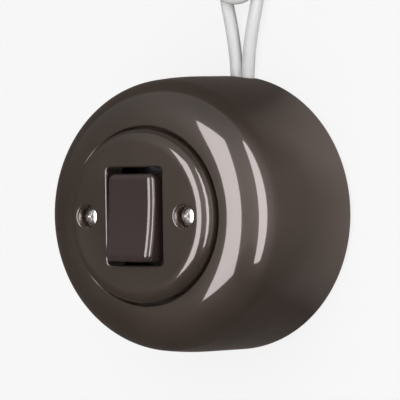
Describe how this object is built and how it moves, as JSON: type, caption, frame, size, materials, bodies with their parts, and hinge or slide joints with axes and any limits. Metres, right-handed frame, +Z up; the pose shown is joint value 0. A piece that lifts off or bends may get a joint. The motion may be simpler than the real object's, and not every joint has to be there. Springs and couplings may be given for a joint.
{
  "type": "surface-mounted rocker light switch",
  "caption": "Round surface-mounted light switch in dark brown glazed porcelain, with a tall rocker in a proud disc, screws in wells and braided cores that leave upwards.",
  "frame": {"origin": "centre of the back face, on the wall", "axes": "+Z up, -Y out of the wall towards the room, +X to the right as seen from the room"},
  "size_m": [0.1001, 0.0678, 0.1496],
  "materials": {
    "brown_glaze": "dark brown glaze, glossy",
    "plain_porcelain": "unglazed porcelain",
    "pale_glaze": "white glaze, glossy",
    "cap_plastic": "dark brown moulding, polished",
    "dark_moulding": "dark brown moulding, satin",
    "pale_moulding": "pale moulding, satin",
    "nickel_screw": "nickel plated, polished",
    "steel": "zinc plated",
    "brass": "machined",
    "copper": "bare copper, drawn",
    "silver": "fine silver, matt",
    "fibre": "pressed fibre",
    "braid": "white braided cotton over a round core"
  },
  "bodies": {
    "wall_side": {"housing": "brown_glaze", "cover_disc": "brown_glaze", "cover_screws": "nickel_screw", "screw_washers": "fibre", "pivot_pin": "steel", "fixed_contact": "brass", "fixed_tip": "silver", "common_contact": "brass", "terminal_cages": "brass", "terminal_screws": "steel", "copper_ends": "copper", "contact_block": "dark_moulding", "block_cover": "dark_moulding", "pivot_frame": "dark_moulding", "frame_screws": "steel", "frame_nuts": "steel", "yoke": "steel", "yoke_bushes": "brass", "yoke_screws": "steel", "pillar_inserts": "brass", "base_plate": "plain_porcelain", "core_left": "braid", "core_right": "braid", "wall_insulator": "pale_glaze", "insulator_screw": "nickel_screw"},
    "rocker": {"rocker_cap": "cap_plastic", "rocker_cradle": "dark_moulding", "plunger_spring": "steel"},
    "plunger": {"plunger": "pale_moulding"},
    "contact_arm": {"contact_arm": "copper", "moving_tip": "silver"}
  },
  "joints": [
    {"name": "rocker_swing", "type": "hinge", "parent": "wall_side", "child": "rocker", "pos_m": [0, -0.0604, -0.0007], "axis": [1, 0, 0], "range_deg": [0, 11]},
    {"name": "contact_swing", "type": "hinge", "parent": "wall_side", "child": "contact_arm", "pos_m": [0, -0.0375, -0.0007], "axis": [1, 0, 0], "range_deg": [-16, 0]},
    {"name": "plunger_slide", "type": "slide", "parent": "rocker", "child": "plunger", "axis": [0, -0.9954, 0.0958], "range_m": [0, 0.0008], "stiffness_N_per_m": 300, "springref_m": -0.003, "deforming": ["plunger_spring"]}
  ],
  "couplings": [
    {"joint": "contact_swing", "follows": "rocker_swing", "ratio": -1.4545}
  ]
}
